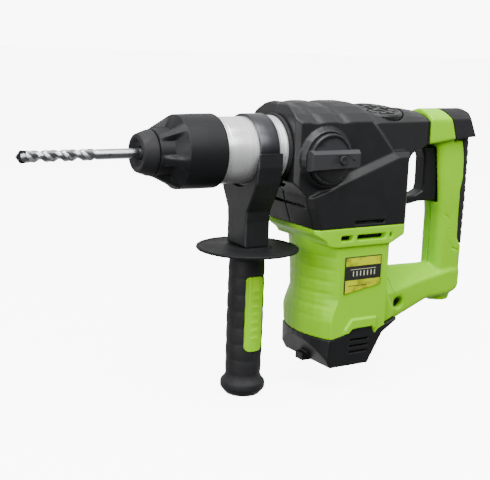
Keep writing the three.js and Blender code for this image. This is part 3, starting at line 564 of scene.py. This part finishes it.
def make_chuck():
    cap = fillet([
        (185, 10.4), (185, 14), (189.2, 14), (189.2, 19.2), (192.5, 19.0), (202, 15.7), (202, 12.6),
        (198.6, 9.4), (198.6, 5.7), (193, 5.7), (193, 10.4), (185, 10.4),
    ], 1.1)
    cap = revolve("nose_cap", "x", cap[:-1], AXIS, 96)
    finish_piece(smooth(cap), "spindle", "soft_rubber", "dust_cap")

    outline = [
        (132, 29.3), (132, 31.1), (133, 31.5), (150, 31.5), (167.5, 31.1), (168.6, 30.6), (188.8, 19.8),
        (188.8, 14.6), (176.8, 14.6), (166, 10.5), (156, 10.5), (156, 29.3), (132, 29.3),
    ]
    profile = spaced(fillet(outline, 0.8), 1.0)[:-1]
    pitch, first = math.radians(60), math.radians(17)
    half_width, wall_width = math.radians(23.5), math.radians(7)

    def scooped(at, radius, angle):
        """Broad finger recesses round the cone, deepest halfway along it, with sloping side walls."""
        if radius < 19 or at < 168:
            return at, radius
        off = abs((angle - first + pitch / 2) % pitch - pitch / 2)
        wall = min(1.0, max(0.0, (half_width - off) / wall_width))
        floor = max(30.6 - (at - 168) * 1.2, 20.9 - (at - 176) * 0.09)
        return at, radius - wall * max(0.0, radius - floor)

    sleeve = revolve("pull_sleeve", "x", profile, AXIS, 240, scooped)
    smooth(sleeve, 28)
    finish_piece(sleeve, "sleeve", "black_plastic", "locking_sleeve", look="satin_black")


def make_barrel():
    rear = [(43.9, 24), (43.9, 32.4), (50, 32.4), (52, 28.4), (69.8, 28.4)]
    rings = []
    for at in (75.6, 78.2):
        rings += [(at, 28.6), (at + 0.1, 28.1), (at + 0.6, 28.1), (at + 0.7, 28.6)]
    front = [(72.4, 28.4), (72.6, 29.4), (75, 29.4), (75.2, 28.6), *rings]
    mouth = [(126.5, 28.6), (127, 28.3), (131, 28.3), (132, 27.8), (132, 24), (43.9, 24)]
    barrel = revolve("clamping_barrel", "x", fillet([*rear, *front, *mouth], 0.3, 2)[:-1], AXIS, 144)
    finish_piece(smooth(barrel, 24), "housing", "bright_aluminium", "front_barrel")

    seal = fillet([(69.3, 28.9), (69.3, 31.6), (72, 31), (72, 28.9), (69.3, 28.9)], 0.6)
    seal = revolve("nose_seal", "x", seal[:-1], AXIS, 128)
    finish_piece(smooth(seal), "housing", "soft_rubber", "nose_seal_ring")


# ---- side handle -------------------------------------------------------------------------------
SIDE = (SIDE_X, 0, 0)


def make_clamp():
    band = fillet([(-9.5, 29), (-9.5, 31.2), (9.5, 31.2), (9.5, 29), (-9.5, 29)], 0.35, 2)
    strap = revolve("steel_band", "x", band[:-1], (SIDE_X, 0, TOOL_Z), 128)
    add(strap, block((SIDE_X - 7, SIDE_X + 7), (-3, 3), (159, 168.2)))
    finish_piece(smooth(strap), "side_handle", "dark_steel", "clamp_strap")

    bracket = moulded(copy_of("handle_bracket", "clamp_saddle"), FINE_VOXEL * 1.2)
    finish_piece(bracket, "side_handle", "black_plastic", "handle_bracket")


def make_guard():
    z, rim = GUARD_Z, GUARD_RADIUS
    profile = fillet([
        (z - 2, 4.4), (z - 2, 20), (z - 2.3, rim - 6), (z - 2.2, rim - 3), (z - 1.8, rim),
        (z + 0.4, rim), (z + 0.9, rim - 3), (z + 0.2, rim - 5.5), (z + 0.9, 28), (z + 1, 22),
        (z + 2.1, 20), (z + 2.1, 4.4), (z - 2, 4.4),
    ], 0.9, 3)
    guard = revolve("guard_disc", "z", profile[:-1], SIDE, 144)
    finish_piece(smooth(guard), "side_handle", "black_plastic", "hand_guard", look="matte_black")


def make_grip():
    lower = fillet([
        (GRIP_END_Z, 0), (GRIP_END_Z, 15.4), (-20.4, 16.6), (-16.2, 20.2), (-10.6, 20.2),
        (-7.4, 17.2), (-5, 16.0),
    ], 1.6)
    ribs, rib_from, rib_to = 7, -4.0, 101.0
    wave = []
    steps = 150
    for i in range(1, steps + 1):
        t = i / steps
        crest = abs(math.sin(math.pi * ribs * t)) ** 0.6
        swell = 0.5 * math.sin(math.pi * t)
        wave.append(Vector((rib_from + (rib_to - rib_from) * t, 15.45 + swell + 0.55 * crest)))
    upper = fillet([
        (101.5, 15.6), (104, 17.0), (107, 18.2), (GRIP_TOP_Z, 18.2), (GRIP_TOP_Z, 4.4), (20, 4.4), (20, 0),
    ], 0.8)
    profile = [(p[0], p[1]) for p in [*lower[:-1], *wave, *upper]]
    grip = revolve("rubber_grip", "z", profile, SIDE, 128)
    middle, height = sum(INLAY_Z) / 2, INLAY_Z[1] - INLAY_Z[0]
    window = moved(rounded_box(INLAY_WIDTH + 0.8, height + 0.8, 4.6), SIDE_X, middle)
    socket = revolve("socket", "z", [(0, 14.9), (0, 30), (100, 30), (100, 14.9)], SIDE, 96)
    cut(grip, common(prism("y", window, 5, 30), socket))
    finish_piece(smooth(grip, 35), "grip", "soft_rubber", "side_grip")

    outline = moved(rounded_box(INLAY_WIDTH, height, 4.2), SIDE_X, middle)
    inlay = revolve("grip_badge", "z", [(0, 15.05), (0, 17.2), (100, 17.2), (100, 15.05)], SIDE, 160)
    common(inlay, prism("y", outline, 5, 30))
    for k in range(7):
        z = INLAY_Z[0] + 12 + k * 7.2
        bar = moved(rounded_box(7.5, 2.4, 1.1), SIDE_X, z)
        ridge = revolve("ridge", "z", [(0, 16.5), (0, 17.55), (100, 17.55), (100, 16.5)], SIDE, 160)
        add(inlay, common(ridge, prism("y", bar, 5, 30)))
    bevel(inlay, 0.3, 3, 40)
    finish_piece(inlay, "grip", "green_plastic", "grip_inlay")


# ---- covers ------------------------------------------------------------------------------------
# Screws sunk in the right cover: x, z and how far out the side stands there.
COVER_SCREWS = [(57, 217, 37), (-46, 213, 29.4), (38, 151, 41), (-40, 142, 41), (-82, 213, 24.4)]


def roof_waves(points, normals):
    """Shallow valleys that run slantwise down the roof."""
    x, y, z = points.T
    top = np.clip((z - 221) / 3, 0, 1) * np.clip(normals[:, 2] * 2.2, 0, 1) * np.clip((72 - x) / 4, 0, 1)
    out = points.copy()
    for valley in (61.0, 33.0, -6.0):
        off = (x - (valley - 0.33 * np.abs(y))) / 5.2
        out -= normals * (1.35 * top * np.exp(-off * off))[:, None]
    return out


def make_covers():
    for node, name in (("gear_cover_left", "cover_left"), ("gear_cover_right", "cover_right")):
        cover = moulded(copy_of(node, name), SHELL_VOXEL, shape=roof_waves, faces=90000)
        finish_piece(cover, "housing", "black_plastic", node)


def make_screws():
    """Cross-head screws set into the right cover's wall."""
    for k, (x, z, half) in enumerate(COVER_SCREWS):
        head = fillet([
            (2.6 - half, 0), (2.6 - half, SCREW_RADIUS), (0.9 - half, SCREW_RADIUS), (0.5 - half, 0),
        ], 0.5)
        screw = revolve(f"cover_screw_{k}", "y", [(p[0], p[1]) for p in head], (x, 0, z), 32)
        for turn in (20, 110):
            slot = block((-2.1, 2.1), (-half - 3, 1.7 - half), (-0.45, 0.45))
            transform(slot, turned_at((x, 0, z), turn))
            cut(screw, slot)
        finish_piece(smooth(screw), "housing", "dark_steel")


def make_grease_cap():
    profile = fillet([
        (-5, 0), (-5, 15.5), (-3.4, 15.5), (-3, 16), (0, 16), (0, 24.3), (0.4, 24.5), (3.8, 24.4),
        (5.5, 23.2), (5.8, 20.6), (4.6, 19.6), (4.4, 18.6), (4.6, 9), (4.9, 0),
    ], 0.5, 3)
    cap = revolve("lid_disc", "z", [(p[0], p[1]) for p in profile], (0, 0, 0), 128)
    wedges = 9
    for k in range(wedges):
        arc = revolve("lug", "z", [(4, 11), (4, 17), (5.6, 17), (5.6, 11)], (0, 0, 0), 72)
        angle = 2 * math.pi * k / wedges
        keep = prism("z", [(0, -1.7), (30, -4.4), (30, 4.4), (0, 1.7)], 0, 9)
        transform(keep, Matrix.Rotation(angle, 4, "Z"))
        add(cap, common(arc, keep))
    for turn in (35, 125):
        bar = prism("z", rounded_box(17, 3, 1.4), 4, 5.7)
        transform(bar, Matrix.Rotation(math.radians(turn), 4, "Z"))
        add(cap, bar)
    place = Matrix.Translation(CAP_AT * MM) @ Matrix.Rotation(-CAP_TILT, 4, "X")
    transform(cap, place)
    bevel(cap, 0.25, 2, 40)
    finish_piece(cap, "grease_cap", "black_plastic", "grease_cap")


def make_knob():
    centre = (KNOB_X, 0, KNOB_Z)
    profile = fillet([
        (34.2, 0), (34.2, 8.4), (40.4, 8.4), (40.4, 22.2), (40.9, 22.5), (45.6, 22.3), (46.6, 21.2),
        (46.6, 0),
    ], 0.5, 3)
    knob = revolve("selector_knob", "y", [(p[0], p[1]) for p in profile], centre, 128)
    sweep = np.linspace(math.radians(24), math.radians(156), 28)
    arc = [(20.0 * math.cos(a), 20.0 * math.sin(a)) for a in sweep]
    cut(knob, prism("y", moved(arc, KNOB_X, KNOB_Z), 45.2, 60))
    dome = [(44, 0), (44, 19.6), (46.9, 19.6), (48.3, 17.5), (49.0, 12), (49.2, 0)]
    dome = revolve("dome", "y", fillet(dome, 2, 4), centre, 96)
    common(dome, block((KNOB_X - 30, KNOB_X + 30), (30, 60), (KNOB_Z - 30, KNOB_Z - 1)))
    add(knob, dome)
    base = [(-27.5, -7.4), (24.4, -9.2), (24.4, 8.2), (-27.5, 8.2)]
    crown = [(-26.5, -6.6), (23, -7.8), (23, 5.4), (-26.5, 5.2)]
    rows = ((44.2, base), (48.4, base), (52, crown))
    corners = [(KNOB_X + x, y, KNOB_Z + z) for y, loop in rows for x, z in loop]
    sides = []
    for low in (0, 4):
        sides += [(low + i, low + (i + 1) % 4, low + 4 + (i + 1) % 4, low + 4 + i) for i in range(4)]
    wing = build("wing", corners, [(0, 1, 2, 3), (11, 10, 9, 8), *sides])
    add(knob, wing)
    cut(knob, rod("y", 4.3, 43.8, 60, (BUTTON_X, 0, KNOB_Z)))
    arrow = [(-18, -1.6), (-18, 1.6), (-21.5, 0)]
    cut(knob, prism("y", moved(arrow, KNOB_X, KNOB_Z - 0.6), 51.2, 60))
    bevel(knob, 0.45, 3, 35)
    finish_piece(knob, "mode_knob", "black_plastic", "mode_knob")

    button = fillet([(46.4, 0), (46.4, 3.9), (53.2, 3.9), (53.8, 3.2), (53.4, 1.8), (53.3, 0)], 0.4, 3)
    button = revolve("lock_button", "y", [(p[0], p[1]) for p in button], (BUTTON_X, 0, KNOB_Z), 48)
    finish_piece(smooth(button), "lock_button", "soft_rubber", "knob_lock_button")


# ---- motor housing, end cap and handle ---------------------------------------------------------
def motor_ripples(points, normals):
    """Soft level bands round the front, as the moulding has."""
    x, _, z = points.T
    front = np.clip((x - 20) / 6, 0, 1) * np.clip(normals[:, 0] * 1.5, 0, 1)
    band = np.clip((z - 42) / 6, 0, 1) * np.clip((108 - z) / 5, 0, 1)
    ripple = np.abs(np.sin((z - 40) / 11.5 * math.pi)) ** 6
    return points - normals * (0.5 * front * band * ripple)[:, None]


def make_motor():
    housing = copy_of("motor_housing", "motor_shell")
    moulded(housing, SHELL_VOXEL, shape=motor_ripples, faces=110000)
    finish_piece(housing, "housing", "green_plastic", "motor_housing")

    outline = [(13, 69.5), (13, 103.5), (-28, 103.5), (-28, 76)]
    plate = prism("y", outline, 38.9, 40.0, "name_plate")
    finish_piece(bevel(plate, 0.35, 3), "housing", "label", "label_plate")
    plate = prism("y", outline, -40.0, -38.6, "rating_plate")
    finish_piece(bevel(plate, 0.35, 3), "housing", "label")

    head = fillet([(13.4, 0), (13.4, 4.6), (16.4, 4.6), (17, 3.8), (17.1, 0)], 0.4, 3)
    screw = revolve("rear_screw", "y", [(p[0], p[1]) for p in head], (REAR_SCREW_X, 0, REAR_SCREW_Z), 40)
    for turn in (0, 90):
        slot = block((-2.8, 2.8), (15.2, 20), (-0.55, 0.55))
        transform(slot, turned_at((REAR_SCREW_X, 0, REAR_SCREW_Z), turn))
        cut(screw, slot)
    finish_piece(smooth(screw), "housing", "dark_steel", "housing_screw")


def make_vent_screens():
    """Black ribbed screens that stand behind the housing's side slots."""
    slots = ((6.7, 19.8), (-30.8, 1.8))
    inner, groove, outer = 31.2, 33.4, 34.2
    z0, z1 = 118.8, 123.2
    for side, name in ((1, "left"), (-1, "right")):
        for k, (x0, x1) in enumerate(slots):
            wall = sorted((side * inner, side * outer))
            screen = block((x0, x1), wall, (z0, z1), f"vent_screen_{name}_{k}")
            count = int((x1 - x0) / 3)
            for rib in range(1, count):
                at = x0 + rib * (x1 - x0) / count
                face = sorted((side * groove, side * (outer + 1)))
                cut(screen, block((at - 0.7, at + 0.7), face, (z0 - 1, z1 + 1)))
            finish_piece(bevel(screen, 0.2, 2), "housing", "black_plastic", look="matte_black")


def make_end_cap():
    cap = moulded(copy_of("motor_end_cap", "vented_base"), SHELL_VOXEL)
    finish_piece(cap, "housing", "black_plastic", "motor_end_cap")


def pad_ribs(points, normals):
    """Slanted grip ribs down the back and sides of the pad."""
    x, y, z = points.T
    outside = np.clip((-normals[:, 0] + 0.45) * 1.4, 0, 1) * (z < 205) * (z > 104)
    outside *= np.clip((-146 - x) / 4, 0, 1)
    fade = np.clip((205 - z) / 8, 0, 1) * np.clip((z - 104) / 8, 0, 1)
    wave = np.clip(np.sin((z + 0.16 * np.abs(y)) / 9.0 * 2 * math.pi) * 2.0, -1, 0.2)
    return points + normals * (0.4 * outside * fade * wave)[:, None]


def seam_strip():
    """Side view of the shallow line that runs down the grip and turns back under the pad."""
    path = [
        (-117, 131), (-126.3, 129.8), (-130, 127.5), (-132, 122), (-135.8, 101.6), (-138.5, 96), (-147, 93),
    ]
    width = 1.3
    return path + [(x + width * 0.8, z - width) for x, z in reversed(path)]


def away_from_seam(points):
    """1 well to the side of the halves' seam, and 0 at it, so that the seam stays tight."""
    return np.clip((np.abs(points[:, 1]) - 2.5) / 3, 0, 1)


def make_handle():
    for node, name in (("rear_handle_left", "grip_shell_left"), ("rear_handle_right", "grip_shell_right")):
        shell = rebuilt(copy_of(node, name), SHELL_VOXEL, EASED_ROUNDS, away_from_seam)
        wall = (13.2, 30) if node.endswith("left") else (-30, -13.2)
        cut(shell, prism("y", seam_strip(), *wall))
        moulded(shell, SHELL_VOXEL, faces=80000)
        finish_piece(shell, "housing", "green_plastic", node)
    pad = moulded(copy_of("rear_grip_pad", "palm_pad"), SHELL_VOXEL, 4, pad_ribs, faces=80000)
    finish_piece(pad, "housing", "soft_rubber", "rear_grip_pad")

    paddle = moulded(copy_of("trigger", "trigger_paddle"), FINE_VOXEL, faces=40000)
    finish_piece(paddle, "trigger", "black_plastic", "trigger")


# ---- finishes on the pieces that stay as they are ----------------------------------------------
def finish_frame():
    slots = {part["node"]: part["material_slot"] for part in frame["record"]["subparts"]}
    for name, node in frame["nodes"].items():
        node.data.materials.clear()
        node.data.materials.append(MATERIALS[slots[name]])


# ---- studio ------------------------------------------------------------------------------------
def area_light(name, place, aim, size, power):
    light = bpy.data.lights.new(name, "AREA")
    light.shape = "RECTANGLE"
    light.size, light.size_y = size
    light.energy = power
    obj = bpy.data.objects.new(name, light)
    obj.location = place
    obj.rotation_euler = (Vector(aim) - Vector(place)).to_track_quat("-Z", "Y").to_euler()
    bpy.context.collection.objects.link(obj)


def make_studio(lowest):
    half = FLOOR_HALF / MM
    corners = ((-half, -half), (half, -half), (half, half), (-half, half))
    floor = build("studio_floor", [(x, y, lowest / MM) for x, y in corners], [(0, 1, 2, 3)])
    n = Nodes("floor_paper", (0.93, 0.93, 0.93), 0.9)
    n.colour(n.mixed(n.between(n.noise(9, 3), 0.3, 0.7, 0, 1), (0.90, 0.90, 0.90), (0.94, 0.94, 0.94)))
    n.shader.inputs["Emission Color"].default_value = (1, 1, 1, 1)
    n.shader.inputs["Emission Strength"].default_value = FLOOR_GLOW
    floor.data.materials.append(n.material)
    floor.visible_diffuse = False
    floor.visible_glossy = False
    make_world()

    aim = (0.0, 0.0, 0.13)
    area_light("top_softbox", (0.25, 0.35, 1.35), aim, (1.2, 0.9), TOP_POWER)
    area_light("side_softbox", (-0.15, 1.25, 1.15), aim, (0.8, 0.6), SIDE_POWER)
    area_light("front_softbox", (1.45, 0.62, 0.45), aim, (0.8, 1.0), FRONT_POWER)


def make_world():
    """White to the eye, brighter behind the object than on the viewer's side."""
    world = bpy.data.worlds.new("studio")
    world.use_nodes = True
    tree = world.node_tree
    background = tree.nodes["Background"]
    background.inputs["Color"].default_value = (1, 1, 1, 1)
    direction = tree.nodes.new("ShaderNodeTexCoord")
    facing = tree.nodes.new("ShaderNodeVectorMath")
    facing.operation = "DOT_PRODUCT"
    facing.inputs[1].default_value = (-0.52, -0.82, 0.25)
    glow = tree.nodes.new("ShaderNodeMapRange")
    for name, number in zip(RANGE_SOCKETS, (-0.3, 0.8, *WORLD_GLOW)):
        glow.inputs[name].default_value = number
    seen = tree.nodes.new("ShaderNodeLightPath")
    pick = tree.nodes.new("ShaderNodeMix")
    pick.inputs["B"].default_value = WORLD_SEEN
    tree.links.new(direction.outputs["Generated"], facing.inputs[0])
    tree.links.new(facing.outputs["Value"], glow.inputs["Value"])
    tree.links.new(seen.outputs["Is Camera Ray"], pick.inputs["Factor"])
    tree.links.new(glow.outputs["Result"], pick.inputs["A"])
    tree.links.new(pick.outputs["Result"], background.inputs["Strength"])
    bpy.context.scene.world = world


def make_camera():
    """The eye that the object is shown from, as a place, a bearing, a pitch and a roll."""
    place = Vector((0.5655, 0.7536, 0.2994))
    bearing, pitch, roll = math.radians(31.99), math.radians(11.53), math.radians(-2.186)
    level = math.cos(pitch)
    back = Vector((math.sin(bearing) * level, math.cos(bearing) * level, math.sin(pitch)))
    right = (-back).cross(Vector((0, 0, 1))).normalized()
    down = right.cross(back)
    across = right * math.cos(roll) + down * math.sin(roll)
    lower = down * math.cos(roll) - right * math.sin(roll)
    camera = bpy.data.cameras.new("camera")
    camera.lens, camera.sensor_width = 75.78, 36.0
    camera.clip_start, camera.clip_end = 0.01, 30
    obj = bpy.data.objects.new("camera", camera)
    turn = Matrix((across, -lower, back)).transposed()
    obj.matrix_world = Matrix.Translation(place) @ turn.to_4x4()
    bpy.context.collection.objects.link(obj)
    bpy.context.scene.camera = obj


finish_frame()
make_bit()
make_chuck()
make_barrel()
make_clamp()
make_guard()
make_grip()
make_covers()
make_screws()
make_grease_cap()
make_knob()
make_motor()
make_vent_screens()
make_end_cap()
make_handle()
make_studio(CAD_BOX[0].z - 0.0005)
make_camera()
